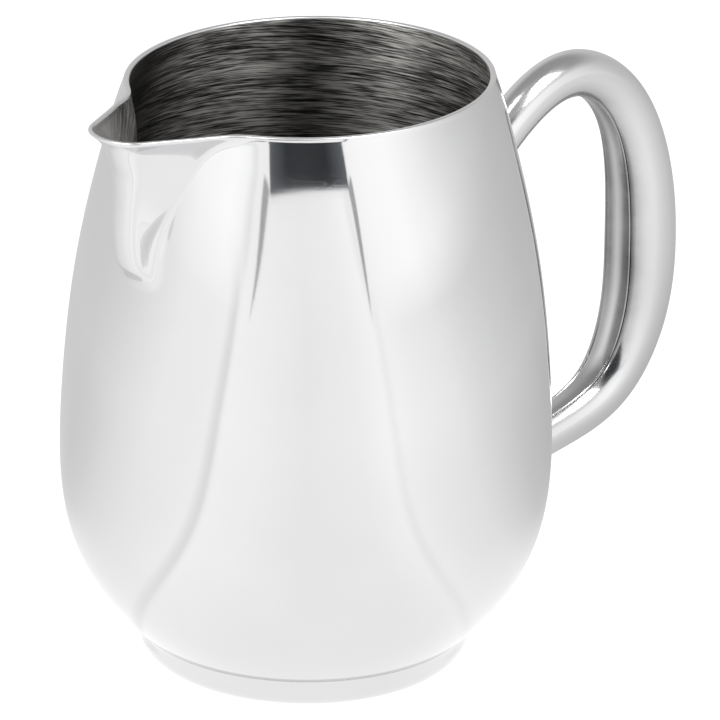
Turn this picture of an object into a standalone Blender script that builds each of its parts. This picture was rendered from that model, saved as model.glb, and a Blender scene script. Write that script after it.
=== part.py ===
"""Silver cream jug: a bellied jug with a pressed pouring spout, a rounded foot
and a hollow welded handle.

The frame is +Z up with the origin on the jug's turned axis at the table.
The handle points along +X and the spout along -X.
Every measure below is in millimetres and is scaled to metres at the end.
"""
import math

import bmesh
import bpy

MM = 0.001
GAP = 0.3                 # clearance between neighbouring solids

# Body: a drawn wall of one thickness
WALL = 0.9
RIM_Z = 92.7
BODY_FLOOR_Z = 4.9
BODY_CURVE = [            # (height, outer radius) of the turned belly
    (4.9, 25.9), (7.0, 27.9), (10.0, 30.4), (15.0, 33.75), (21.0, 36.15),
    (28.0, 37.25), (36.0, 37.5), (46.0, 37.15), (58.0, 35.85), (70.0, 33.85),
    (81.0, 31.35), (88.0, 29.25), (92.7, 27.75),
]
FLOOR_CORNER = 0.9        # radius where the floor turns up into the wall
OVAL_PULL = 0.95          # how far the mouth is drawn out along the spout axis
OVAL_FROM_Z = 58.0

# Spout: a nose circle joined to the wall by straight flanks, level by level
# (height, nose centre, nose radius, root centre, root half width)
SPOUT_LEVELS = [
    (66.0, 30.5, 2.5, 26.5, 2.2),
    (68.0, 33.0, 2.6, 26.5, 2.2),
    (70.3, 35.2, 2.75, 26.5, 2.2),
    (73.5, 36.0, 2.8, 26.5, 2.4),
    (76.5, 36.1, 2.8, 26.5, 3.4),
    (80.5, 36.0, 2.9, 26.5, 6.0),
    (84.5, 35.6, 3.2, 26.5, 7.3),
    (88.5, 35.1, 4.2, 26.5, 8.3),
    (91.0, 34.6, 5.8, 26.5, 9.6),
    (92.7, 34.1, 8.2, 26.5, 11.3),
]
SPOUT_FILLET = 1.6

# Foot: a low rounded ring, closed underneath by a flat panel
FOOT_OUTSIDE = [(25.0, 4.6), (25.4, 3.3), (25.3, 2.3), (24.7, 1.3), (23.6, 0.5), (22.3, 0.0)]
FOOT_INSIDE = [(20.7, 0.0), (20.7, 1.7), (23.0, 1.7), (23.9, 2.4), (24.2, 3.3), (23.9, 4.6)]
PANEL_RADIUS = 20.4
PANEL_Z = 0.5
PANEL_THICK = 0.8
BRAZE_SECTION = [(23.55, 4.6), (23.7, 3.5), (22.3, 4.6)]

# Handle: centre line in the XZ plane, from inside the wall at the neck, over
# the arch and down to the lower belly
HANDLE_PATH = [
    (27.5, 60.5), (36.0, 69.4), (44.1, 76.6), (55.1, 80.3), (64.2, 75.6),
    (70.2, 63.7), (71.75, 49.5), (70.2, 35.7), (63.9, 25.9), (52.4, 21.5),
    (42.0, 19.4), (32.0, 18.3),
]
HANDLE_RADII = [3.3, 3.3, 3.45, 3.7, 4.2, 5.1, 5.65, 5.25, 4.45, 3.7, 3.35, 3.3]
FLAT_DEPTH = 0.88         # distance of the flat inner face, as a share of the radius
HANDLE_SHEET = 0.8
WELD_LEG = 0.9

STEEL = (0.80, 0.80, 0.81)
INNER_STEEL = (0.72, 0.72, 0.73)
BRAZE = (0.62, 0.60, 0.56)


def clear_scene():
    for item in list(bpy.data.objects):
        bpy.data.objects.remove(item, do_unlink=True)


def curve_value(points, place):
    """Smooth curve through (place, value) points, with flat-free Hermite spans."""
    last = len(points) - 1
    place = min(max(place, points[0][0]), points[last][0])
    span = 0
    while span < last - 1 and place > points[span + 1][0]:
        span += 1

    def slope(i):
        low, high = max(i - 1, 0), min(i + 1, last)
        return (points[high][1] - points[low][1]) / (points[high][0] - points[low][0])

    (x0, y0), (x1, y1) = points[span], points[span + 1]
    width = x1 - x0
    t = (place - x0) / width
    m0, m1 = slope(span) * width, slope(span + 1) * width
    return ((2 * t ** 3 - 3 * t ** 2 + 1) * y0 + (t ** 3 - 2 * t ** 2 + t) * m0
            + (3 * t ** 2 - 2 * t ** 3) * y1 + (t ** 3 - t ** 2) * m1)


def turned_radius(z):
    return curve_value(BODY_CURVE, z)


def spout_distance(x, y, z):
    """Distance from (x, y) to the spout's plan outline at height z."""
    nose, nose_r, root, root_r = (
        curve_value([(level[0], level[i]) for level in SPOUT_LEVELS], z) for i in (1, 2, 3, 4))
    across, along = abs(y), -x - root
    length = nose - root
    b = (root_r - nose_r) / length
    a = math.sqrt(max(1.0 - b * b, 1e-6))
    k = -b * across + a * along
    if k < 0.0:
        return math.hypot(across, along) - root_r
    if k > a * length:
        return math.hypot(across, along - length) - nose_r
    return across * a + along * b - root_r


def wall_radius(angle, z):
    """Outer radius of the jug wall at an angle from the handle, at height z."""
    rise = min(max((z - OVAL_FROM_Z) / (RIM_Z - OVAL_FROM_Z), 0.0), 1.0)
    round_r = turned_radius(z) + OVAL_PULL * rise * rise * math.cos(2.0 * angle)
    if z <= SPOUT_LEVELS[0][0] or math.cos(angle) > -0.5:
        return round_r

    def outside(r):
        wall = r - round_r
        spout = spout_distance(r * math.cos(angle), r * math.sin(angle), z)
        blend = max(SPOUT_FILLET - abs(wall - spout), 0.0) / SPOUT_FILLET
        return min(wall, spout) - 0.25 * SPOUT_FILLET * blend * blend

    low, high = round_r - 1.0, round_r + 22.0
    for _ in range(40):
        middle = 0.5 * (low + high)
        if outside(middle) > 0.0:
            high = middle
        else:
            low = middle
    return low


def steel_material(name, colour, roughness):
    material = bpy.data.materials.new(name)
    material.use_nodes = True
    shader = material.node_tree.nodes["Principled BSDF"]
    shader.inputs["Base Color"].default_value = (*colour, 1.0)
    shader.inputs["Metallic"].default_value = 1.0
    shader.inputs["Roughness"].default_value = roughness
    return material


def add_object(collection, name, bm, material):
    """Turn a bmesh into an object, with its millimetres turned into metres."""
    bmesh.ops.scale(bm, vec=(MM, MM, MM), verts=bm.verts)
    mesh = bpy.data.meshes.new(name)
    bm.to_mesh(mesh)
    bm.free()
    obj = bpy.data.objects.new(name, mesh)
    obj.data.materials.append(material)
    collection.objects.link(obj)
    return obj


def skin_rings(bm, rings, close_along=False):
    """Join equal rings of vertices with quads; each ring closes on itself."""
    pairs = list(zip(rings, rings[1:]))
    if close_along:
        pairs.append((rings[-1], rings[0]))
    for first, second in pairs:
        count = len(first)
        for i in range(count):
            j = (i + 1) % count
            bm.faces.new((first[i], first[j], second[j], second[i]))


def wall_angles():
    """Angles round the wall, close together across the spout."""
    spout_half = math.radians(36.0)
    fine_count = 41
    fine = [math.pi - spout_half + 2 * spout_half * i / (fine_count - 1) for i in range(fine_count)]
    coarse_count = 40
    sweep = 2 * math.pi - 2 * spout_half
    coarse = [math.pi + spout_half + sweep * i / coarse_count for i in range(1, coarse_count)]
    return fine + coarse


def wall_heights():
    lower = [BODY_FLOOR_Z + FLOOR_CORNER, 8.0, 11.0, 15.0, 20.0, 26.0, 33.0, 41.0, 50.0, 58.0, 64.0]
    spout = [67.0, 69.0, 71.0, 73.0, 76.0, 79.5, 83.0, 86.0, 88.5, 90.5, RIM_Z]
    return lower + spout


def make_body(collection, material):
    """The drawn jug: the outside is lofted, then thickened inward."""
    bm = bmesh.new()
    angles = wall_angles()
    corner_r = turned_radius(BODY_FLOOR_Z + FLOOR_CORNER)
    rings = []
    for radius, z in ((10.0, BODY_FLOOR_Z), (corner_r - 1.6, BODY_FLOOR_Z),
                      (corner_r - 0.45, BODY_FLOOR_Z + 0.25)):
        rings.append([bm.verts.new((radius * math.cos(a), radius * math.sin(a), z)) for a in angles])
    for z in wall_heights():
        ring = []
        for a in angles:
            r = wall_radius(a, z)
            ring.append(bm.verts.new((r * math.cos(a), r * math.sin(a), z)))
        rings.append(ring)
    skin_rings(bm, rings)
    centre = bm.verts.new((0.0, 0.0, BODY_FLOOR_Z))
    for i, vert in enumerate(rings[0]):
        bm.faces.new((vert, centre, rings[0][(i + 1) % len(angles)]))
    obj = add_object(collection, "body_shell", bm, material)
    thicken = obj.modifiers.new("wall", "SOLIDIFY")
    thicken.thickness = WALL * MM
    thicken.offset = -1.0
    thicken.use_even_offset = True
    return obj


def make_turned(collection, name, section, material, steps=64):
    """A ring turned from a closed section of (radius, height) points."""
    bm = bmesh.new()
    verts = [bm.verts.new((r, 0.0, z)) for r, z in section]
    for i, vert in enumerate(verts):
        bm.edges.new((vert, verts[(i + 1) % len(verts)]))
    obj = add_object(collection, name, bm, material)
    turn = obj.modifiers.new("turn", "SCREW")
    turn.axis = "Z"
    turn.steps = steps
    turn.render_steps = steps
    turn.use_merge_vertices = True
    turn.merge_threshold = 0.00001
    return obj


def make_panel(collection, material):
    bm = bmesh.new()
    bmesh.ops.create_cone(bm, cap_ends=True, cap_tris=False, segments=64,
                          radius1=PANEL_RADIUS, radius2=PANEL_RADIUS, depth=PANEL_THICK)
    bmesh.ops.translate(bm, vec=(0.0, 0.0, PANEL_Z + PANEL_THICK / 2), verts=bm.verts)
    return add_object(collection, "base_panel", bm, material)


def path_lengths():
    total = [0.0]
    for (x0, z0), (x1, z1) in zip(HANDLE_PATH, HANDLE_PATH[1:]):
        total.append(total[-1] + math.hypot(x1 - x0, z1 - z0))
    return [length / total[-1] for length in total]


PATH_SHARE = path_lengths()


def handle_frame(t):
    """Centre, outward normal and section radius at share t of the handle."""
    def centre(share):
        x = curve_value(list(zip(PATH_SHARE, (p[0] for p in HANDLE_PATH))), share)
        z = curve_value(list(zip(PATH_SHARE, (p[1] for p in HANDLE_PATH))), share)
        return x, z

    step = 0.002
    (x0, z0), (x1, z1) = centre(max(t - step, 0.0)), centre(min(t + step, 1.0))
    length = math.hypot(x1 - x0, z1 - z0)
    normal = (-(z1 - z0) / length, (x1 - x0) / length)
    radius = curve_value(list(zip(PATH_SHARE, HANDLE_RADII)), t)
    return centre(t), normal, radius


def handle_point(t, across, outward):
    """A point of the handle from its section place (across, outward)."""
    (x, z), (nx, nz), _ = handle_frame(t)
    return x + outward * nx, across, z + outward * nz


def meets_wall(section, low, high, clearance):
    """Share of the path where one line of the section comes off the wall."""
    def outside(t):
        across, outward = section(handle_frame(t)[2])
        x, y, z = handle_point(t, across, outward)
        return math.hypot(x, y) > turned_radius(z) + clearance

    rising = outside(high)
    for _ in range(30):
        middle = 0.5 * (low + high)
        if outside(middle) == rising:
            high = middle
        else:
            low = middle
    return 0.5 * (low + high)


UPPER_SEARCH = (0.0, 0.16)
LOWER_SEARCH = (1.0, 0.84)


def loft_handle(collection, name, lines, material, stations=44):
    """Sweep a closed section, given as one function of the radius per corner."""
    bm = bmesh.new()
    ends = [(meets_wall(line, *UPPER_SEARCH, GAP), meets_wall(line, *LOWER_SEARCH, GAP))
            for line in lines]
    rings = []
    for i in range(stations + 1):
        ring = []
        for line, (start, stop) in zip(lines, ends):
            t = start + (stop - start) * i / stations
            ring.append(bm.verts.new(handle_point(t, *line(handle_frame(t)[2]))))
        rings.append(ring)
    skin_rings(bm, rings)
    half = len(lines) // 2
    for ring in (rings[0], rings[-1]):
        for i in range(half - 1):
            bm.faces.new((ring[i], ring[i + 1], ring[-2 - i], ring[-1 - i]))
    bmesh.ops.recalc_face_normals(bm, faces=bm.faces)
    return add_object(collection, name, bm, material)


def flat_half_angle():
    return math.acos(FLAT_DEPTH)


def make_handle_shell(collection, material):
    """The pressed outer half: most of a round, open where the strip closes it."""
    lip = flat_half_angle() + math.radians(1.5)
    count = 13
    angles = [lip + (2 * math.pi - 2 * lip) * i / (count - 1) for i in range(count)]

    def line(angle, inset):
        return lambda radius: ((radius - inset) * math.sin(angle), -(radius - inset) * math.cos(angle))

    lines = [line(a, 0.0) for a in angles] + [line(a, HANDLE_SHEET) for a in reversed(angles)]
    return loft_handle(collection, "handle_outer_shell", lines, material)


def make_handle_strip(collection, material):
    """The flat inner strip that closes the handle, on the finger side."""
    def line(side, depth):
        def corner(radius):
            flat = FLAT_DEPTH * radius
            half_width = math.sqrt(radius ** 2 - flat ** 2) * (flat - depth) / flat - GAP
            return side * half_width, depth - flat
        return corner

    lines = [line(side, 0.0) for side in (-1.0, 0.0, 1.0)]
    lines += [line(side, HANDLE_SHEET) for side in (1.0, 0.0, -1.0)]
    return loft_handle(collection, "handle_inner_strip", lines, material)


def make_weld(collection, name, search, material):
    """The fillet of weld round one end of the handle, where it meets the wall."""
    bm = bmesh.new()
    count = 24

    def line(angle, grow):
        def corner(radius):
            outward = max(-math.cos(angle) * (radius + grow), -FLAT_DEPTH * radius - grow)
            return (radius + grow) * math.sin(angle), outward
        return corner

    rings = []
    for grow, clearance in ((GAP, GAP), (GAP, GAP + WELD_LEG), (GAP + WELD_LEG, GAP)):
        ring = []
        for i in range(count):
            corner = line(2 * math.pi * i / count, grow)
            t = meets_wall(corner, *search, clearance)
            ring.append(bm.verts.new(handle_point(t, *corner(handle_frame(t)[2]))))
        rings.append(ring)
    skin_rings(bm, rings, close_along=True)
    bmesh.ops.recalc_face_normals(bm, faces=bm.faces)
    return add_object(collection, name, bm, material)


def main():
    clear_scene()
    collection = bpy.data.collections.new("silver_cream_jug")
    bpy.context.scene.collection.children.link(collection)
    polished = steel_material("polished_steel", STEEL, 0.08)
    satin = steel_material("satin_steel", INNER_STEEL, 0.28)
    weld = steel_material("weld_metal", BRAZE, 0.35)

    make_body(collection, polished)
    make_turned(collection, "foot_ring", FOOT_OUTSIDE + FOOT_INSIDE, polished)
    make_panel(collection, satin)
    make_turned(collection, "foot_braze_ring", BRAZE_SECTION, weld, steps=48)
    make_handle_shell(collection, polished)
    make_handle_strip(collection, polished)
    make_weld(collection, "upper_handle_weld", UPPER_SEARCH, weld)
    make_weld(collection, "lower_handle_weld", LOWER_SEARCH, weld)


main()
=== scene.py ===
"""Looks of the silver cream jug: a mirror-polished bellied body with a pressed
spout, a brushed inside, a rounded foot and a hollow, softly polished handle.

Lengths are in millimetres in the part's own frame (+Z up, handle along +X,
spout along -X) and are scaled to metres when a mesh is made. Only the camera,
the materials and the studio are in metres.
"""

import math

import bpy
import numpy as np
from mathutils import Matrix, Vector


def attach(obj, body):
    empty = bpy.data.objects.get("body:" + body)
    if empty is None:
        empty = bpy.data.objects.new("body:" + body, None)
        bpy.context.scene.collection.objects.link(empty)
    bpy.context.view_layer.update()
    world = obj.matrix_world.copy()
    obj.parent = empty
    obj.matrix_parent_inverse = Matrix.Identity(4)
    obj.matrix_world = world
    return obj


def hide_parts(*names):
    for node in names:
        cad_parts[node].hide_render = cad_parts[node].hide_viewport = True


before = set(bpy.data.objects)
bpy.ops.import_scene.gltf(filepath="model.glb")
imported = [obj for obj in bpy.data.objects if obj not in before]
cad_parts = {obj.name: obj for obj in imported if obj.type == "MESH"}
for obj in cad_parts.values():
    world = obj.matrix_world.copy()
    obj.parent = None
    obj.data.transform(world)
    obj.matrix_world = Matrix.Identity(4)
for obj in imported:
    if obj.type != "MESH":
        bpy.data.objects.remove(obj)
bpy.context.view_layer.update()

MM = 0.001

# Body
WALL = 1.0
RIM_Z = 92.7
LIP_DROP = 0.25           # how far below the rim the lip's rounding starts
LIP_CROWN = 0.38          # height of that rounding
LIP_SQUARENESS = 0.7      # 1 is a half round, less is a flatter cut with rounded edges
BODY_FLOOR_Z = 4.9
BODY_CURVE = [            # (height, outer radius) of the turned belly
    (4.9, 25.9), (7.0, 27.9), (10.0, 30.4), (15.0, 33.75), (21.0, 36.15),
    (28.0, 37.25), (36.0, 37.5), (46.0, 37.15), (58.0, 35.85), (70.0, 33.85),
    (81.0, 31.35), (88.0, 29.25), (92.7, 27.75),
]
OVAL_PULL = 0.95          # how far the mouth is drawn out along the spout axis
OVAL_FROM_Z = 58.0        # the mouth starts to be drawn out above this height
FINE_FROM_Z = 66.0        # the wall is finely divided above this height, for the spout

# Spout: (height, nose centre, nose radius, root centre, root half width)
SPOUT_LEVELS = [
    (67.2, 30.5, 2.5, 26.5, 2.2),
    (69.0, 33.0, 2.6, 26.5, 2.2),
    (71.2, 35.3, 2.6, 26.5, 2.6),
    (74.0, 36.2, 2.6, 26.5, 3.2),
    (76.5, 36.4, 2.6, 26.5, 4.0),
    (80.5, 36.2, 2.75, 26.5, 6.0),
    (84.5, 35.7, 3.1, 26.5, 7.3),
    (88.5, 35.2, 4.1, 26.5, 8.2),
    (91.0, 35.1, 5.3, 26.5, 9.5),
    (92.7, 35.4, 6.9, 26.5, 10.8),
]
# How widely the spout melts into the wall: (height, width)
SPOUT_FILLETS = [(67.2, 2.4), (70.5, 3.0), (73.5, 2.7), (77.0, 1.6), (80.5, 0.6), (86.0, 0.45),
                 (89.0, 1.1), (91.0, 2.8), (92.7, 7.0)]
NOSE_FLAT = 1.0           # how far the nose's rounded front is pressed flat
NOSE_BEND = 9.0           # radius left across that flat
NOSE_CORNER = 0.9         # rounding from the flat to the nose's sides
NOSE_FLAT_TOP_Z = 90.0    # the flat dies out here, under the lip
NOSE_FLAT_FADE = 4.0      # over this height below that
SPOUT_REACH = 22.0        # farther out from the round wall than the spout ever comes
SPOUT_SIDE = math.radians(40.0)     # the wall is finely divided this far each side of the spout

# Foot: outside from the belly down to the table, then the hollow inside
FOOT_OUTSIDE = [(27.0, 6.2), (26.15, 5.3), (25.55, 4.6), (25.35, 3.8), (25.35, 3.0), (25.1, 2.0),
                (24.5, 1.1), (23.6, 0.4), (22.3, 0.0)]
FOOT_INSIDE = [(20.9, 0.1), (20.7, 0.4), (20.75, 1.6), (23.0, 1.8), (23.9, 2.6),
               (24.2, 3.6), (25.2, 5.0)]
PANEL_RADIUS = 20.4
PANEL_Z = 0.5
PANEL_THICK = 0.8
PANEL_DISH = 0.35         # how far the panel's middle is pressed up
BRAZE_SECTION = [(23.9, 4.75), (23.8, 4.2), (23.55, 3.6), (22.9, 4.3), (22.3, 4.75)]

# Handle: centre line in the XZ plane, with the tube's radius at each point
HANDLE_PATH = [
    (27.5, 60.5), (36.0, 69.4), (44.1, 76.6), (55.1, 80.3), (64.2, 75.6),
    (70.2, 63.7), (71.75, 49.5), (70.2, 35.7), (63.9, 25.9), (52.4, 21.5),
    (42.0, 19.4), (32.0, 18.3),
]
HANDLE_RADII = [3.3, 3.3, 3.45, 3.7, 4.2, 5.1, 5.65, 5.25, 4.45, 3.7, 3.35, 3.3]
FLAT_DEPTH = 0.88         # distance of the flat inner face, as a share of the radius
HANDLE_SHEET = 0.8
SEAM_GAP = 0.1            # the fine seam between shell and strip
WELD_LEG = 1.1

# Camera: seen from the spout's side, a little above
SUBJECT_TURN = -43.0      # degrees from the part's front to the camera's side
CAMERA_BACK = 1.04464     # metres from the jug's axis
CAMERA_UP = 0.46291
CAMERA_YAW = 0.4436
CAMERA_PITCH = 21.7048
CAMERA_ROLL = 0.8224
LENS = 369.79
SENSOR = 36.0


# ---------------------------------------------------------------- shapes

def smooth_curve(points):
    """A natural cubic spline through (place, value) points, as a function."""
    x, y = (np.array(column, float) for column in zip(*points))
    gaps, steps, count = np.diff(x), np.diff(y), len(x)
    system, right = np.eye(count), np.zeros(count)
    for i in range(1, count - 1):
        system[i, i - 1:i + 2] = gaps[i - 1], 2 * (gaps[i - 1] + gaps[i]), gaps[i]
        right[i] = 6 * (steps[i] / gaps[i] - steps[i - 1] / gaps[i - 1])
    bend = np.linalg.solve(system, right)

    def value(place):
        place = np.clip(place, x[0], x[-1])
        i = np.clip(np.searchsorted(x, place) - 1, 0, count - 2)
        a, b, h = x[i + 1] - place, place - x[i], gaps[i]
        cubic = (bend[i] * a ** 3 + bend[i + 1] * b ** 3) / (6 * h)
        return cubic + (y[i] / h - bend[i] * h / 6) * a + (y[i + 1] / h - bend[i + 1] * h / 6) * b
    return value


def even_curve(points, degree):
    """A polynomial close to (place, value) points, so that reflections run clean along it."""
    x, y = (np.array(column, float) for column in zip(*points))
    low, high = x[0], x[-1]
    weights = np.polyfit((x - low) / (high - low), y, degree)
    return lambda place: np.polyval(weights, (place - low) / (high - low))


turned_radius = even_curve(BODY_CURVE, 7)
fillet_curve = smooth_curve(SPOUT_FILLETS)
spout_curves = [smooth_curve([(level[0], level[i]) for level in SPOUT_LEVELS]) for i in (1, 2, 3, 4)]


def spout_distance(x, y, z):
    """Distance from (x, y) to the spout's plan outline at height z."""
    nose, nose_r, root, root_r = (curve(z) for curve in spout_curves)
    across, along = np.abs(y), -x - root
    length = nose - root
    b = (root_r - nose_r) / length
    a = np.sqrt(np.maximum(1.0 - b * b, 1e-6))
    k = -b * across + a * along
    flank = across * a + along * b - root_r
    flank = np.where(k < 0.0, np.hypot(across, along) - root_r, flank)
    sides = np.where(k > a * length, np.hypot(across, along - length) - nose_r, flank)
    flat = NOSE_FLAT * np.clip((NOSE_FLAT_TOP_Z - z) / NOSE_FLAT_FADE, 0.0, 1.0)
    front = -x - (nose + nose_r - flat) + y * y / (2.0 * NOSE_BEND)
    blend = np.maximum(NOSE_CORNER - np.abs(sides - front), 0.0) / NOSE_CORNER
    return np.maximum(sides, front) + NOSE_CORNER * blend * blend / 4.0


def wall_radius(angle, z):
    """Outer radius of the jug wall at an angle from the handle, at height z."""
    rise = np.clip((z - OVAL_FROM_Z) / (RIM_Z - OVAL_FROM_Z), 0.0, 1.0)
    round_r = turned_radius(z) + OVAL_PULL * rise * rise * np.cos(2.0 * angle)
    fillet = fillet_curve(z)
    low, high = round_r - 1.0, round_r + SPOUT_REACH
    for _ in range(36):                               # halve the gap until the wall is found
        middle = 0.5 * (low + high)
        wall = middle - round_r
        spout = spout_distance(middle * np.cos(angle), middle * np.sin(angle), z)
        blend = np.maximum(fillet - np.abs(wall - spout), 0.0) / fillet
        outside = np.minimum(wall, spout) - fillet * blend ** 3 / 6.0 > 0.0
        low, high = np.where(outside, low, middle), np.where(outside, middle, high)
    near_spout = (z > SPOUT_LEVELS[0][0]) & (np.cos(angle) < -0.5)
    return np.where(near_spout, low, round_r)


def add_mesh(name, points, faces, materials, stands_for):
    """A smooth-shaded piece that rides on the jug and stands for CAD nodes."""
    mesh = bpy.data.meshes.new(name)
    mesh.from_pydata([tuple(p) for p in np.asarray(points, float) * MM], [], faces)
    mesh.validate()
    mesh.shade_smooth()
    obj = bpy.data.objects.new(name, mesh)
    bpy.context.scene.collection.objects.link(obj)
    for material in materials:
        mesh.materials.append(material)
    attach(obj, "root")
    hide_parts(*stands_for)
    return obj


def skin(rings, close_along=False):
    """Quads between equal rings of points, numbered ring by ring."""
    count, last = len(rings[0]), len(rings)
    faces = []
    for i in range(last if close_along else last - 1):
        for j in range(count):
            k, above = (j + 1) % count, (i + 1) % last
            faces.append((i * count + j, i * count + k, above * count + k, above * count + j))
    return faces


def wall_angles():
    """Angles round the wall: close together about the spout, wider apart elsewhere."""
    fine_count, coarse_count = 280, 140
    fine = np.linspace(math.pi - SPOUT_SIDE, math.pi + SPOUT_SIDE, fine_count)
    coarse = np.linspace(math.pi + SPOUT_SIDE, 3 * math.pi - SPOUT_SIDE, coarse_count)
    return np.concatenate([fine, coarse[1:-1]])


def surface_normals(grid):
    """Outward unit normals of a grid of rings."""
    around = np.roll(grid, -1, axis=1) - np.roll(grid, 1, axis=1)
    up = np.gradient(grid, axis=0)
    normals = np.cross(around, up)
    return normals / np.linalg.norm(normals, axis=2, keepdims=True)


def make_body(outside_material, inside_material, lip_material):
    """The drawn jug: outside skin, rounded lip and inside skin as one closed shell."""
    angles = wall_angles()
    low_z, lip_z = BODY_FLOOR_Z + 0.5, RIM_Z - LIP_DROP
    heights = np.concatenate([np.linspace(low_z, FINE_FROM_Z, 56),
                              np.linspace(FINE_FROM_Z, lip_z, 50)[1:]])
    turn, height = np.meshgrid(angles, heights)
    radius = wall_radius(turn, height)
    wall = np.stack([radius * np.cos(turn), radius * np.sin(turn), height], axis=2)
    normals = surface_normals(wall)
    inner = wall - WALL * normals

    rings = []
    for share in (0.02, 0.5, 0.9, 0.985):             # the flat bottom under the belly
        flat = wall[0] * share
        flat[:, 2] = BODY_FLOOR_Z + (0.12 if share > 0.95 else 0.0)
        rings.append(flat)
    rings.extend(wall)
    first_lip = len(rings) - 1
    edge_out, edge_in = wall[-1], inner[-1].copy()
    edge_in[:, 2] = lip_z
    middle, half = 0.5 * (edge_out + edge_in), 0.5 * (edge_out - edge_in)
    lip_steps = 10
    for i in range(1, lip_steps):                     # the lip: a flat cut with its edges rounded
        turn_over = math.pi * i / lip_steps
        side = math.copysign(abs(math.cos(turn_over)) ** LIP_SQUARENESS, math.cos(turn_over))
        ring = middle + half * side
        ring[:, 2] = lip_z + LIP_CROWN * math.sin(turn_over) ** LIP_SQUARENESS
        rings.append(ring)
    first_inner = len(rings)
    inner[-1] = edge_in
    rings.extend(inner[::-1])
    for share in (0.96, 0.9, 0.5, 0.02):
        flat = inner[0] * share
        flat[:, 2] = BODY_FLOOR_Z + WALL + (0.1 if share > 0.95 else 0.0)
        rings.append(flat)

    count = len(angles)
    points = np.concatenate(rings + [np.array([[0, 0, BODY_FLOOR_Z], [0, 0, BODY_FLOOR_Z + WALL]])])
    faces = skin(rings)
    bottom, top = len(points) - 2, len(points) - 1
    last = (len(rings) - 1) * count
    for j in range(count):
        k = (j + 1) % count
        faces.append((bottom, k, j))
        faces.append((top, last + j, last + k))
    obj = add_mesh("jug_body", points, faces, [outside_material, inside_material, lip_material],
                   ["body_shell"])
    for polygon in obj.data.polygons:
        lowest_ring = min(polygon.vertices) // count
        if lowest_ring >= first_inner:
            polygon.material_index = 1
        elif lowest_ring > first_lip:
            polygon.material_index = 2


def fine_section(points, count):
    """Evenly spread points on a smooth curve through a few (radius, height) points."""
    points = np.array(points, float)
    travel = np.concatenate([[0.0], np.cumsum(np.hypot(*np.diff(points, axis=0).T))])
    place = np.linspace(0.0, travel[-1], count)
    return np.stack([smooth_curve(list(zip(travel, points[:, i])))(place) for i in (0, 1)], axis=1)


def make_turned(name, section, material, stands_for, steps=180):
    """A closed section of (radius, height) points turned round the jug's axis."""
    rings = []
    for angle in np.linspace(0.0, 2 * math.pi, steps, endpoint=False):
        r, z = section[:, 0], section[:, 1]
        rings.append(np.stack([r * math.cos(angle), r * math.sin(angle), z], axis=1))
    add_mesh(name, np.concatenate(rings), skin(rings, close_along=True), [material], stands_for)


def make_foot(material):
    """The rounded foot: its outside and the hollow behind it in one closed section."""
    outside = fine_section(FOOT_OUTSIDE, 40)
    inside = fine_section(FOOT_INSIDE, 16)
    make_turned("foot_band", np.concatenate([outside, inside]), material,
                ["foot_ring"])


def make_braze(material):
    """The fillet of brazing that holds the foot to the body, inside the foot."""
    closed = BRAZE_SECTION + BRAZE_SECTION[:1]
    section = fine_section(closed, 15)[:-1]
    make_turned("foot_braze", section, material, ["foot_braze_ring"], steps=96)


def make_panel(material):
    """The pressed base panel: slightly dished, with a rolled edge."""
    top, low = PANEL_Z + PANEL_THICK, PANEL_Z
    section = [(0.02, low + PANEL_DISH), (8.0, low + PANEL_DISH), (15.5, low + PANEL_DISH),
               (16.6, low + 0.3), (17.4, low + 0.05), (18.4, low), (PANEL_RADIUS - 0.3, low),
               (PANEL_RADIUS, low + 0.3), (PANEL_RADIUS, top - 0.1), (PANEL_RADIUS - 0.3, top),
               (10.0, top), (0.02, top)]
    steps = 120
    rings = []
    for r, z in section:
        turn = np.linspace(0.0, 2 * math.pi, steps, endpoint=False)
        rings.append(np.stack([r * np.cos(turn), r * np.sin(turn), np.full(steps, z)], axis=1))
    points = np.concatenate(rings)
    faces = [tuple(range(steps))] + skin(rings)
    faces.append(tuple(reversed(range(len(points) - steps, len(points)))))
    faces = [tuple(reversed(face)) for face in faces]
    add_mesh("base_panel_pressing", points, faces, [material], ["base_panel"])


def path_share():
    """How far along the handle each point of its path lies, from 0 to 1."""
    steps = np.hypot(*np.diff(np.array(HANDLE_PATH), axis=0).T)
    total = np.concatenate([[0.0], np.cumsum(steps)])
    return total / total[-1]


PATH_SHARE = path_share()
path_x = smooth_curve(list(zip(PATH_SHARE, (p[0] for p in HANDLE_PATH))))
path_z = smooth_curve(list(zip(PATH_SHARE, (p[1] for p in HANDLE_PATH))))
path_r = smooth_curve(list(zip(PATH_SHARE, HANDLE_RADII)))
UPPER_SEARCH = (0.0, 0.16)
LOWER_SEARCH = (1.0, 0.84)


def handle_point(t, across, outward):
    """A point at share t of the handle's path, so far across it and out from its inner side."""
    step = 0.002
    dx = path_x(t + step) - path_x(t - step)
    dz = path_z(t + step) - path_z(t - step)
    length = np.hypot(dx, dz)
    return np.array([path_x(t) - outward * dz / length, across, path_z(t) + outward * dx / length])


def meets_wall(section, low, high, clearance):
    """Share of the path where one line of the section comes off the wall."""
    for _ in range(26):
        middle = 0.5 * (low + high)
        x, y, z = handle_point(middle, *section(path_r(middle)))
        if math.hypot(x, y) > turned_radius(z) + clearance:
            high = middle
        else:
            low = middle
    return 0.5 * (low + high)


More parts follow.
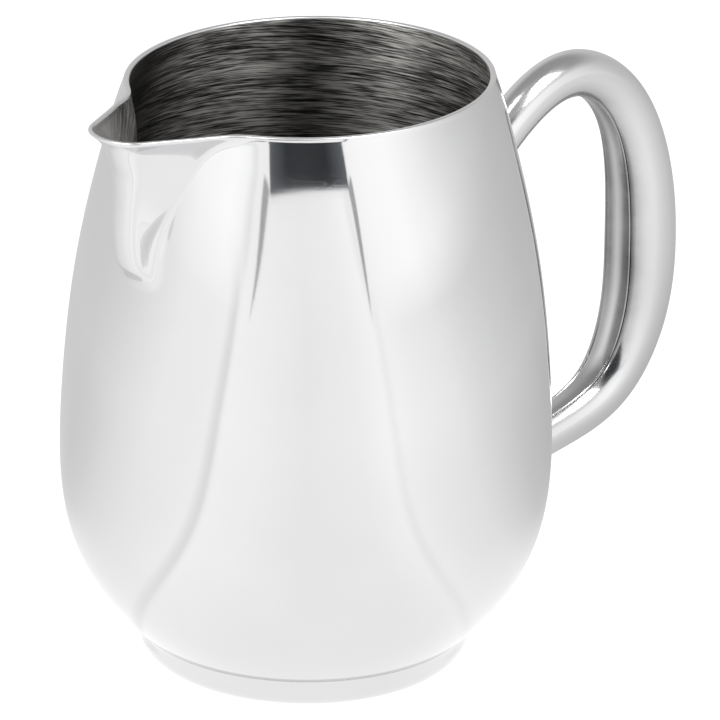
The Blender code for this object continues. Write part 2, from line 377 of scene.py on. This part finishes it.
def loft_handle(name, lines, seam_shade, material, stands_for, stations=200):
    """Sweep a closed section, given as one function of the radius per corner.

    The shade list says, from 0 to 1, how much painted shade each line of the section takes, a stand-in for
    the dark reflection along the seam.
    """
    into_wall = -0.25
    ends = [(meets_wall(line, *UPPER_SEARCH, into_wall), meets_wall(line, *LOWER_SEARCH, into_wall))
            for line in lines]
    rings = []
    for i in range(stations + 1):
        share = i / stations
        ring = []
        for line, (start, stop) in zip(lines, ends):
            t = start + (stop - start) * share
            ring.append(handle_point(t, *line(path_r(t))))
        rings.append(np.array(ring))
    faces = skin(rings)
    count, last = len(lines), stations * len(lines)
    for i in range(count // 2 - 1):
        faces.append((i + 1, i, count - 1 - i, count - 2 - i))
        faces.append((last + i, last + i + 1, last + count - 2 - i, last + count - 1 - i))
    obj = add_mesh(name, np.concatenate(rings), faces, [material], stands_for)
    middle = np.sin(np.linspace(0.0, math.pi, stations + 1)) ** 1.5
    along = np.clip(1.15 * middle - 0.1, 0.05, 1.0)   # the painted seam shade thins out towards both ends
    # painted shade along the seam, kept at each point for the handle's material
    amount = np.outer(along, seam_shade).astype(np.float32)
    obj.data.attributes.new("painted_seam_shade", "FLOAT", "POINT").data.foreach_set("value", amount.ravel())


def make_handle_shell(material):
    """The pressed outer part of the tube, with its two lips turned in at the seam."""
    count, lip = 72, math.acos(FLAT_DEPTH) + math.radians(1.0)
    turned_in = math.radians(3.0)

    def line(angle, inset):
        return lambda radius: ((radius - inset) * math.sin(angle), -(radius - inset) * math.cos(angle))

    angles = list(np.linspace(lip + turned_in, 2 * math.pi - lip - turned_in, count))
    outer = [(lip, 0.35), (lip + turned_in * 0.15, 0.12), (lip + turned_in * 0.5, 0.02)]
    outer += [(a, 0.0) for a in angles]
    outer += [(2 * math.pi - a, inset) for a, inset in reversed(outer[:3])]
    lines = [line(a, inset) for a, inset in outer]
    lines += [line(a, HANDLE_SHEET) for a, _ in reversed(outer)]
    reach = math.radians(42.0)                        # how far round the tube the painted seam shade goes
    seam_shade = [max(0.0, 1.0 - min(a - lip, 2 * math.pi - lip - a) / reach) ** 1.5 for a, _ in outer]
    loft_handle("handle_shell", lines, seam_shade + seam_shade[::-1], material, ["handle_outer_shell"])


def make_handle_strip(material):
    """The inner strip that closes the tube, slightly crowned, with painted shade off its middle line."""
    count = 24
    edge_ease = 0.16

    def line(side, under):
        def corner(radius):
            flat = FLAT_DEPTH * radius
            half_width = math.sqrt(radius ** 2 - flat ** 2) - SEAM_GAP
            crown = 0.045 * radius * (1.0 - side ** 2)
            eased = edge_ease * max(0.0, (abs(side) - 0.9) / 0.1) ** 2
            if under:
                return side * half_width * 0.9, HANDLE_SHEET - flat
            return side * half_width, eased - flat - crown
        return corner

    sides = np.sin(np.linspace(-0.5 * math.pi, 0.5 * math.pi, count))
    lines = [line(s, False) for s in sides] + [line(s, True) for s in reversed(sides)]
    # painted shade, darker towards the strip's edges by the seam
    seam_shade = [min(0.9, 0.18 + 1.5 * max(0.0, abs(s) - 0.08)) for s in sides]
    loft_handle("handle_strip", lines, seam_shade + seam_shade[::-1], material, ["handle_inner_strip"])


def make_weld(name, search, material, stands_for):
    """The smooth fillet of weld round one end of the handle, where it meets the wall."""
    count, arc = 72, 8

    def line(angle, grow):
        def corner(radius):
            outward = max(-math.cos(angle) * (radius + grow), -FLAT_DEPTH * radius - grow)
            return (radius + grow) * math.sin(angle), outward
        return corner

    def point(angle, grow, clearance):
        corner = line(angle, grow)
        t = meets_wall(corner, *search, clearance)
        return handle_point(t, *corner(path_r(t)))

    rings = []
    for i in range(count):
        angle = 2 * math.pi * i / count
        corner = point(angle, 0.0, 0.0)
        on_handle, on_wall = point(angle, 0.02, WELD_LEG), point(angle, WELD_LEG, 0.02)
        inside = point(angle, -0.5, -0.5)
        ring = [(1 - s) ** 2 * on_handle + 2 * s * (1 - s) * corner + s * s * on_wall
                for s in np.linspace(0.0, 1.0, arc)]
        rings.append(np.array(ring + [inside]))
    add_mesh(name, np.concatenate(rings), skin(rings, close_along=True), [material],
             stands_for)


# ---------------------------------------------------------------- materials

MIRROR_STEEL = (0.70, 0.70, 0.706)
BUFFED_STEEL = (0.70, 0.70, 0.704)
# painted shade: the dark reflection along the handle's seam
PAINTED_SEAM_SHADE = (0.12, 0.115, 0.11)
# painted shade inside: the dark colour that its bands and its depth shade mix towards
PAINTED_INSIDE_SHADE = (0.02, 0.019, 0.018)
# painted light: the lighter, even grey of the lit channel inside the spout
PAINTED_SPOUT_LIGHT = (0.30, 0.295, 0.29)
PAINTED_INSIDE_BANDS = [        # (angle from the handle, share) of painted shade inside, in bands that stand in for its reflections
    (-180, 0.7), (-120, 0.25), (-70, 0.1), (-30, 0.3), (-8, 0.1), (10, 0.0), (30, 0.0), (46, 0.5),
    (62, 0.1), (82, 0.2), (98, 0.6), (110, 0.9), (140, 0.92), (180, 0.7),
]


class Nodes:
    """A short way to build a material's node tree."""

    def __init__(self, name):
        self.material = bpy.data.materials.new(name)
        self.material.use_nodes = True
        self.tree = self.material.node_tree
        self.shader = self.tree.nodes["Principled BSDF"]
        self.place = self.add("ShaderNodeTexCoord").outputs["Object"]

    def add(self, kind, **settings):
        node = self.tree.nodes.new(kind)
        for key, value in settings.items():
            setattr(node, key, value)
        return node

    def join(self, source, target):
        self.tree.links.new(source, target)

    def math(self, operation, first, second=0.0, clamp=False):
        node = self.add("ShaderNodeMath", operation=operation, use_clamp=clamp)
        for socket, value in zip(node.inputs, (first, second)):
            if isinstance(value, (int, float)):
                socket.default_value = value
            else:
                self.join(value, socket)
        return node.outputs[0]

    def noise(self, scale, stretch=(1, 1, 1), turn=(0, 0, 0), detail=4.0, roughness=0.55):
        """Noise in the part's space; scale is per metre."""
        mapping = self.add("ShaderNodeMapping")
        mapping.inputs["Rotation"].default_value = [math.radians(a) for a in turn]
        mapping.inputs["Scale"].default_value = stretch
        self.join(self.place, mapping.inputs["Vector"])
        noise = self.add("ShaderNodeTexNoise")
        noise.inputs["Scale"].default_value = scale
        noise.inputs["Detail"].default_value = detail
        noise.inputs["Roughness"].default_value = roughness
        self.join(mapping.outputs[0], noise.inputs["Vector"])
        return noise.outputs["Fac"]

    def ramp(self, source, stops):
        """Grey or coloured values spread over stops of (position, value)."""
        node = self.add("ShaderNodeValToRGB")
        elements = node.color_ramp.elements
        while len(elements) < len(stops):
            elements.new(0.5)
        for element, (position, value) in zip(elements, stops):
            element.position = position
            colour = value if isinstance(value, tuple) else (value, value, value)
            element.color = (*colour, 1.0)
        self.join(source, node.inputs[0])
        return node.outputs[0]

    def split(self):
        """The x, y and z of the place being shaded."""
        node = self.add("ShaderNodeSeparateXYZ")
        self.join(self.place, node.inputs[0])
        return node.outputs

    def reach(self, x, y):
        """Distance from the object's upright axis."""
        squares = self.math("ADD", self.math("MULTIPLY", x, x), self.math("MULTIPLY", y, y))
        return self.math("SQRT", squares)

    def by_angle(self, angle, steps):
        """Values by an angle in radians, from (degrees, value) steps that run from -180 to 180."""
        place = self.spread(angle, -math.pi, math.pi, 0.0, 1.0)
        return self.ramp(place, [((degrees + 180.0) / 360.0, value) for degrees, value in steps])

    def spread(self, source, low, high, to_low, to_high):
        """The source's range from low to high, mapped to another range and held at its ends."""
        node = self.add("ShaderNodeMapRange")
        for name, value in (("From Min", low), ("From Max", high), ("To Min", to_low), ("To Max", to_high)):
            node.inputs[name].default_value = value
        self.join(source, node.inputs["Value"])
        return node.outputs["Result"]

    def mixed(self, share, first, second):
        """The first colour, with a share of the second."""
        node = self.add("ShaderNodeMix", data_type="RGBA")
        self.join(share, node.inputs["Factor"])
        for name, value in (("A", first), ("B", second)):
            if isinstance(value, tuple):
                node.inputs[name].default_value = (*value, 1.0)
            else:
                self.join(value, node.inputs[name])
        return node.outputs["Result"]

    def bump(self, height, strength, distance):
        """Fine relief of the shader's surface; distance is in metres."""
        node = self.add("ShaderNodeBump")
        node.inputs["Strength"].default_value = strength
        node.inputs["Distance"].default_value = distance
        self.join(height, node.inputs["Height"])
        self.join(node.outputs["Normal"], self.shader.inputs["Normal"])


def hairlines(nodes, scale, turn, stretch, width):
    """A mask of fine scratches: thin level lines of a stretched noise."""
    noise = nodes.noise(scale, stretch, turn, detail=1.0)
    offset = nodes.math("ABSOLUTE", nodes.math("SUBTRACT", noise, 0.5))
    return nodes.math("SUBTRACT", 1.0, nodes.math("DIVIDE", offset, width), clamp=True)


def polished_steel(name, colour, roughness, haze, bump_strength, seam_shaded=False):
    """Buffed steel: faint cloudy haze, buffing lines and stray hairline scratches.

    With the seam shade switched on, the steel also takes grey painted shade along the seam, as much as the
    mesh's shade attribute says.
    """
    nodes = Nodes(name)
    nodes.shader.inputs["Metallic"].default_value = 1.0
    cloud = nodes.noise(38.0, detail=3.0)
    dark, bright = (tuple(c * k for c in colour) for k in (0.975, 1.012))
    clean = nodes.ramp(cloud, [(0.3, dark), (0.7, bright)])
    if seam_shaded:
        # painted shade along the seam, a little patchy
        seam_shade = nodes.add("ShaderNodeAttribute", attribute_name="painted_seam_shade").outputs["Fac"]
        patchy = nodes.spread(nodes.noise(160.0, detail=3.0), 0.3, 0.7, 0.55, 0.85)
        clean = nodes.mixed(nodes.math("MULTIPLY", seam_shade, patchy), clean, PAINTED_SEAM_SHADE)
    nodes.join(clean, nodes.shader.inputs["Base Color"])
    scratch = nodes.math("ADD", hairlines(nodes, 160.0, (12, 20, 30), (1, 1, 3.0), 0.004),
                         hairlines(nodes, 120.0, (-35, 8, 70), (1.4, 1, 2.5), 0.004), clamp=True)
    buff = nodes.noise(900.0, (0.12, 0.12, 1.0), (4, -3, 0), detail=2.0)
    rough = nodes.spread(cloud, 0.3, 0.7, roughness, roughness + haze)
    rough = nodes.math("ADD", rough, nodes.math("MULTIPLY", scratch, 0.04))
    nodes.join(nodes.math("ADD", rough, nodes.math("MULTIPLY", buff, haze)),
               nodes.shader.inputs["Roughness"])
    height = nodes.math("SUBTRACT", buff, nodes.math("MULTIPLY", scratch, 0.1))
    nodes.bump(height, bump_strength, 0.00002)
    return nodes.material


def brushed_inside():
    """The unpolished inside: coarse strokes running round the wall, dark between them."""
    nodes = Nodes("brushed_inside")
    nodes.shader.inputs["Metallic"].default_value = 1.0
    nodes.shader.inputs["Anisotropic"].default_value = 0.75
    nodes.shader.inputs["Anisotropic Rotation"].default_value = 0.25
    tangent = nodes.add("ShaderNodeTangent", direction_type="RADIAL", axis="Z")
    nodes.join(tangent.outputs[0], nodes.shader.inputs["Tangent"])
    x, y, z = nodes.split()
    down_wall = nodes.add("ShaderNodeCombineXYZ")
    for source, name in ((x, "X"), (y, "Y"), (nodes.math("ADD", z, nodes.reach(x, y)), "Z")):
        nodes.join(source, down_wall.inputs[name])
    nodes.place = down_wall.outputs[0]      # so the strokes are rings across the floor too
    fine = nodes.noise(7200.0, (0.022, 0.022, 1.0), (3, -4, 0), detail=2.0, roughness=0.8)
    cross = nodes.noise(5000.0, (0.03, 0.03, 1.0), (-9, 7, 0), detail=2.0, roughness=0.7)
    broad = nodes.noise(420.0, (0.12, 0.12, 1.0), (2, 3, 0), detail=3.0)
    strokes = nodes.math("ADD", nodes.math("MULTIPLY", fine, 0.5), nodes.math("MULTIPLY", cross, 0.5))
    mixed = nodes.math("ADD", nodes.math("MULTIPLY", strokes, 0.8), nodes.math("MULTIPLY", broad, 0.2))
    steel = nodes.ramp(mixed, [(0.43, (0.04, 0.038, 0.036)), (0.50, (0.38, 0.37, 0.355)),
                               (0.575, (1.0, 0.98, 0.95))])
    # painted shade in bands round the inside, in place of its reflections
    shade_bands = nodes.by_angle(nodes.math("ARCTAN2", y, x), PAINTED_INSIDE_BANDS)
    # painted shade, darker towards the bottom of the inside
    depth_shade = nodes.spread(z, 0.072, 0.088, 0.45, 0.0)
    steel = nodes.mixed(depth_shade, nodes.mixed(shade_bands, steel, PAINTED_INSIDE_SHADE), PAINTED_INSIDE_SHADE)
    # painted light in the spout's channel, where the inside is otherwise dark
    in_spout = nodes.spread(x, -0.037, -0.030, 0.85, 0.0)
    nodes.join(nodes.mixed(in_spout, steel, PAINTED_SPOUT_LIGHT), nodes.shader.inputs["Base Color"])
    nodes.join(nodes.spread(strokes, 0.4, 0.6, 0.50, 0.62), nodes.shader.inputs["Roughness"])
    nodes.bump(strokes, 0.8, 0.00012)
    return nodes.material


def satin_base():
    """The base panel: a fine lathe-turned finish of rings round its middle."""
    nodes = Nodes("satin_base")
    nodes.shader.inputs["Metallic"].default_value = 1.0
    nodes.shader.inputs["Anisotropic"].default_value = 0.4
    x, y, _ = nodes.split()
    rings = nodes.add("ShaderNodeTexNoise", noise_dimensions="1D")
    rings.inputs["Scale"].default_value = 4200.0
    rings.inputs["Detail"].default_value = 3.0
    nodes.join(nodes.reach(x, y), rings.inputs["W"])
    nodes.join(nodes.ramp(rings.outputs["Fac"], [(0.3, (0.56, 0.56, 0.57)), (0.7, (0.74, 0.74, 0.75))]),
               nodes.shader.inputs["Base Color"])
    cloud = nodes.noise(70.0, detail=4.0)
    nodes.join(nodes.spread(cloud, 0.3, 0.7, 0.22, 0.36), nodes.shader.inputs["Roughness"])
    nodes.bump(rings.outputs["Fac"], 0.35, 0.00004)
    return nodes.material


def weld_finish():
    """Dressed weld: a little duller and warmer than the steel, with fine file marks."""
    nodes = Nodes("weld_finish")
    nodes.shader.inputs["Metallic"].default_value = 1.0
    grain = nodes.noise(1400.0, (1.0, 0.3, 0.5), (20, 10, 0), detail=4.0)
    nodes.join(nodes.ramp(grain, [(0.3, (0.66, 0.65, 0.63)), (0.7, (0.80, 0.79, 0.77))]),
               nodes.shader.inputs["Base Color"])
    nodes.join(nodes.spread(grain, 0.3, 0.7, 0.16, 0.26), nodes.shader.inputs["Roughness"])
    nodes.bump(grain, 0.3, 0.00003)
    return nodes.material


# ---------------------------------------------------------------- studio

# Tones of the light tent and of the paper sweep under it: (degrees from the camera's side, tone)
TENT_STEPS = [
    (-180, 0.60), (-150, 0.62), (-120, 0.71), (-105, 0.76), (-90, 0.86), (-75, 0.98),
    (-60, 1.07), (-45, 1.12), (-38, 1.06), (-34, 0.87), (-32, 1.0), (-20, 0.97), (0, 0.93),
    (20, 0.98), (31, 1.06), (33.5, 0.95), (36, 1.04), (45, 1.10), (60, 1.12), (75, 1.01),
    (90, 0.84), (105, 0.70), (120, 0.60), (135, 0.56), (150, 0.52), (180, 0.56),
]
SWEEP_STEPS = [
    (-180, 0.54), (-165, 0.55), (-150, 0.58), (-135, 0.63), (-120, 0.67), (-105, 0.70),
    (-90, 0.77), (-75, 0.87), (-60, 0.96), (-45, 0.97), (-38, 0.99), (-34, 0.79), (-32, 1.03),
    (-20, 1.0), (0, 0.93), (20, 0.97), (31, 1.04), (33.5, 0.95), (36, 1.02), (45, 0.975),
    (60, 0.915), (75, 0.80), (90, 0.71), (105, 0.645), (120, 0.575), (135, 0.525), (150, 0.455),
    (165, 0.46), (180, 0.50),
]
SWEEP_SHADE_STEPS = [      # the sweep near the jug, in its soft shade
    (-180, 0.46), (-165, 0.47), (-150, 0.51), (-135, 0.57), (-120, 0.61), (-105, 0.63),
    (-90, 0.70), (-75, 0.81), (-60, 0.89), (-45, 0.95), (-38, 0.98), (-34, 0.80), (-32, 1.02),
    (-20, 1.0), (0, 0.93), (20, 0.94), (31, 1.0), (33.5, 0.91), (36, 0.98), (45, 0.925),
    (60, 0.85), (75, 0.72), (90, 0.60), (105, 0.53), (120, 0.46), (135, 0.41), (150, 0.37),
    (165, 0.385), (180, 0.43),
]
SWEEP_APEX = 0.0386       # metres behind the axis where the paper sweep's edges would meet
SWEEP_HALF = 2.5
SWEEP_DROP = 0.0005       # the sweep lies this far under the floor that the camera sees
SHADE_REACH = (0.09, 0.22)          # the jug's soft shade on the sweep fades out between these
CONTACT_REACH = (0.03, 0.075)       # and the evener tone right round the foot between these
CONTACT_TONE = 0.91
CONTACT_SHARE = 0.55
FLOOR_HALF = 6.0
TENT_RADIUS = 3.0
TONE_SCALE = 0.5          # the colours hold half of each tone
TENT_POWER = 2.46         # light from a colour of 1
OVERHEAD_TONE = 0.32      # the tent's tone above the jug, full at the upper of the next two angles
OVERHEAD_FROM, OVERHEAD_TO = math.radians(27.0), math.radians(50.0)
CARD_DISTANCE = 1.2
# Outlines of the flat cards before the jug: (degrees aside, degrees up) of each corner
DARK_GAP = [(-17.0, 12.6), (26.3, 15.9), (27.0, 30.0), (36.0, 36.0), (36.0, 48.0), (-17.0, 48.0)]
SWEEP_EDGES = [[(-20.0, 14.5), (-27.5, 1.0), (-17.2, 13.0)], [(25.9, 15.9), (31.5, 2.0), (28.4, 17.5)]]
SOFT_BOXES = {"soft_box_left": -52.0, "soft_box_right": 58.0}       # degrees aside of each middle
SOFT_BOX_HALF = 14.0
SOFT_BOX_UP = (48.0, 78.0)
SOFT_BOX_POWER = 15.0


def studio_frame():
    """An empty turned to the camera's side, for everything in the studio."""
    empty = bpy.data.objects.new("studio", None)
    bpy.context.scene.collection.objects.link(empty)
    empty.rotation_euler = (0.0, 0.0, math.radians(SUBJECT_TURN))
    return empty


def make_camera():
    """The camera, on the side given by SUBJECT_TURN."""
    data = bpy.data.cameras.new("camera")
    data.lens, data.sensor_width = LENS, SENSOR
    data.clip_start, data.clip_end = 0.05, 30.0
    camera = bpy.data.objects.new("camera", data)
    bpy.context.scene.collection.objects.link(camera)
    turn = Matrix.Rotation(math.radians(SUBJECT_TURN), 4, "Z")
    place = turn @ Vector((0.0, -CAMERA_BACK, CAMERA_UP))
    aim = (Matrix.Rotation(math.radians(SUBJECT_TURN - CAMERA_YAW), 4, "Z")
           @ Matrix.Rotation(math.radians(90.0 - CAMERA_PITCH), 4, "X")
           @ Matrix.Rotation(math.radians(CAMERA_ROLL), 4, "Z"))
    camera.matrix_world = Matrix.Translation(place) @ aim
    bpy.context.scene.camera = camera


def stage_object(name, mesh, parent, material, only_reflected):
    """A piece of the studio; one that is only reflected shows in the metal and nowhere else."""
    obj = bpy.data.objects.new(name, mesh)
    bpy.context.scene.collection.objects.link(obj)
    mesh.materials.append(material)
    obj.parent = parent
    if only_reflected:
        obj.visible_camera = obj.visible_diffuse = obj.visible_shadow = False
        obj.visible_transmission = False
    return obj


def square_mesh(name, half, z=0.0):
    """A level square that reaches half of its width each way from the middle."""
    mesh = bpy.data.meshes.new(name)
    mesh.from_pydata([(-half, -half, z), (half, -half, z), (half, half, z), (-half, half, z)], [],
                     [(0, 1, 2, 3)])
    return mesh


def emission_material(name, strength=1.0):
    """A material that only glows; also gives the socket for its colour."""
    nodes = Nodes(name)
    nodes.tree.nodes.remove(nodes.shader)
    glow = nodes.add("ShaderNodeEmission")
    glow.inputs["Strength"].default_value = strength
    nodes.join(glow.outputs[0], nodes.tree.nodes["Material Output"].inputs["Surface"])
    return nodes, glow.inputs["Color"]


def grey(tone):
    """The colour that holds a tone."""
    return (tone * TONE_SCALE,) * 3


def brightness(nodes, x, y, steps, lift=None):
    """Tone of the tent or the sweep by its angle from the camera's side."""
    angle = nodes.math("ARCTAN2", x, nodes.math("MULTIPLY", y, -1.0))
    if lift is not None:
        side = nodes.math("SIGN", angle)
        angle = nodes.math("ADD", angle, nodes.math("MULTIPLY", side, lift))
    return nodes.by_angle(angle, [(degrees, tone * TONE_SCALE) for degrees, tone in steps])


def dome_mesh(name, turns, tilts, radius, faces):
    """Part of a dome about the jug; turns are from the camera's side and tilts from level."""
    rings = [np.stack([np.sin(turns) * math.cos(tilt), -np.cos(turns) * math.cos(tilt),
                       np.full(len(turns), math.sin(tilt))], axis=1) * radius for tilt in tilts]
    mesh = bpy.data.meshes.new(name)
    mesh.from_pydata([tuple(p) for p in np.concatenate(rings)], [], faces)
    return mesh


def card_mesh(name, outlines):
    """Flat cards before the jug, their corners given as (degrees aside, degrees up)."""
    mesh = bpy.data.meshes.new(name)
    points, faces = [], []
    for outline in outlines:
        faces.append(tuple(range(len(points), len(points) + len(outline))))
        for aside, up in outline:
            a, e = math.radians(aside), math.radians(up)
            points.append((CARD_DISTANCE * math.tan(a), -CARD_DISTANCE,
                           CARD_DISTANCE * math.tan(e) / math.cos(a)))
    mesh.from_pydata(points, [], faces)
    return mesh


def make_tent(parent):
    """A big soft tent of light, seen only in the metal."""
    nodes, colour = emission_material("tent_light", TENT_POWER)
    x, y, z = nodes.split()
    height = nodes.math("ARCSINE", nodes.math("DIVIDE", z, TENT_RADIUS))
    lean = nodes.math("MAXIMUM", nodes.math("MINIMUM", height, math.radians(12.0)), math.radians(-2.0))
    wall = brightness(nodes, x, y, TENT_STEPS, nodes.math("MULTIPLY", lean, 0.75))
    low = brightness(nodes, x, y, SWEEP_STEPS)
    wall = nodes.mixed(nodes.spread(height, math.radians(-1.0), math.radians(6.0), 0.0, 1.0), low, wall)
    overhead = nodes.spread(height, OVERHEAD_FROM, OVERHEAD_TO, 0.0, 1.0)
    nodes.join(nodes.mixed(overhead, wall, grey(OVERHEAD_TONE)), colour)
    turns = np.linspace(0.0, 2 * math.pi, 96, endpoint=False)
    tilts = np.linspace(-0.5 * math.pi + 0.02, 0.5 * math.pi - 0.02, 48)
    mesh = dome_mesh("tent", turns, tilts, TENT_RADIUS, skin([turns] * len(tilts)))
    stage_object("tent", mesh, parent, nodes.material, True)


def make_floor(parent):
    """The pale floor, and the paper sweep that the metal reflects in its place."""
    nodes = Nodes("pale_floor")
    grain = nodes.noise(600.0, detail=2.0)
    nodes.join(nodes.ramp(grain, [(0.3, 0.30), (0.7, 0.32)]), nodes.shader.inputs["Base Color"])
    nodes.shader.inputs["Roughness"].default_value = 0.9
    nodes.shader.inputs["Emission Color"].default_value = (1.0, 1.0, 1.0, 1.0)
    nodes.shader.inputs["Emission Strength"].default_value = 0.8
    floor = stage_object("floor", square_mesh("floor", FLOOR_HALF), parent, nodes.material, False)
    floor.visible_glossy = False

    nodes, colour = emission_material("sweep_light", TENT_POWER)
    x, y, _ = nodes.split()
    from_apex = nodes.math("SUBTRACT", y, SWEEP_APEX)
    far = brightness(nodes, x, from_apex, SWEEP_STEPS)
    shade = brightness(nodes, x, from_apex, SWEEP_SHADE_STEPS)
    reach = nodes.reach(x, y)
    paper = nodes.mixed(nodes.spread(reach, *SHADE_REACH, 1.0, 0.0), far, shade)
    contact = nodes.spread(reach, *CONTACT_REACH, CONTACT_SHARE, 0.0)
    nodes.join(nodes.mixed(contact, paper, grey(CONTACT_TONE)), colour)
    stage_object("sweep", square_mesh("sweep", SWEEP_HALF, -SWEEP_DROP), parent, nodes.material, True)


def make_dark_gap(parent):
    """The dark room over the sweep's near edge, behind the camera, and the shaded edges beside it."""
    nodes, colour = emission_material("dark_room")
    x, _, _ = nodes.split()
    middle = 0.1
    aside = nodes.math("ABSOLUTE", nodes.math("SUBTRACT", x, middle))
    haze = nodes.math("MULTIPLY", nodes.noise(3.0, (1.0, 1.0, 0.6), (0, 30, 0), detail=3.0), 0.03)
    tone = nodes.math("ADD", nodes.spread(aside, 0.24, 0.45, 0.035, 0.13), haze)
    nodes.join(nodes.mixed(tone, (0.0, 0.0, 0.0), (0.92, 0.98, 1.06)), colour)
    stage_object("dark_gap", card_mesh("dark_gap", [DARK_GAP]), parent, nodes.material, True)

    nodes, colour = emission_material("sweep_edge_shade")
    colour.default_value = (0.50, 0.49, 0.50, 1.0)
    stage_object("sweep_edge", card_mesh("sweep_edge", SWEEP_EDGES), parent, nodes.material, True)


def make_soft_boxes(parent):
    """Two soft boxes hung over the jug, left and right of the camera, that light its inside."""
    nodes, colour = emission_material("soft_box", SOFT_BOX_POWER)
    glow = nodes.noise(2.0, detail=1.0)
    nodes.join(nodes.ramp(glow, [(0.3, 0.97), (0.7, 1.0)]), colour)
    across, up = 9, 6
    corners = [row * across + column for row in range(up - 1) for column in range(across - 1)]
    faces = [(c, c + 1, c + across + 1, c + across) for c in corners]
    for name, aside in SOFT_BOXES.items():
        turns = np.radians(np.linspace(aside - SOFT_BOX_HALF, aside + SOFT_BOX_HALF, across))
        tilts = np.radians(np.linspace(*SOFT_BOX_UP, up))
        mesh = dome_mesh(name, turns, tilts, CARD_DISTANCE, faces)
        stage_object(name, mesh, parent, nodes.material, True)


def make_world():
    """Plain white all round, shown without any film-like tone curve."""
    world = bpy.data.worlds.new("studio_white")
    world.use_nodes = True
    background = world.node_tree.nodes["Background"]
    background.inputs["Color"].default_value = (1.0, 1.0, 1.0, 1.0)
    background.inputs["Strength"].default_value = 1.05
    bpy.context.scene.world = world
    bpy.context.scene.view_settings.view_transform = "Standard"


def main():
    make_camera()
    make_world()
    studio = studio_frame()
    make_tent(studio)
    make_floor(studio)
    make_dark_gap(studio)
    make_soft_boxes(studio)

    mirror = polished_steel("mirror_polish", MIRROR_STEEL, roughness=0.035, haze=0.02, bump_strength=0.06)
    handle_finish = polished_steel("handle_polish", BUFFED_STEEL, roughness=0.13, haze=0.05,
                                   bump_strength=0.2, seam_shaded=True)
    lip = polished_steel("lip_edge", BUFFED_STEEL, roughness=0.24, haze=0.06, bump_strength=0.3)
    weld = weld_finish()
    make_body(mirror, brushed_inside(), lip)
    make_foot(mirror)
    make_braze(weld)
    make_panel(satin_base())
    make_handle_shell(handle_finish)
    make_handle_strip(handle_finish)
    make_weld("upper_weld_fillet", UPPER_SEARCH, weld, ["upper_handle_weld"])
    make_weld("lower_weld_fillet", LOWER_SEARCH, weld, ["lower_handle_weld"])


main()
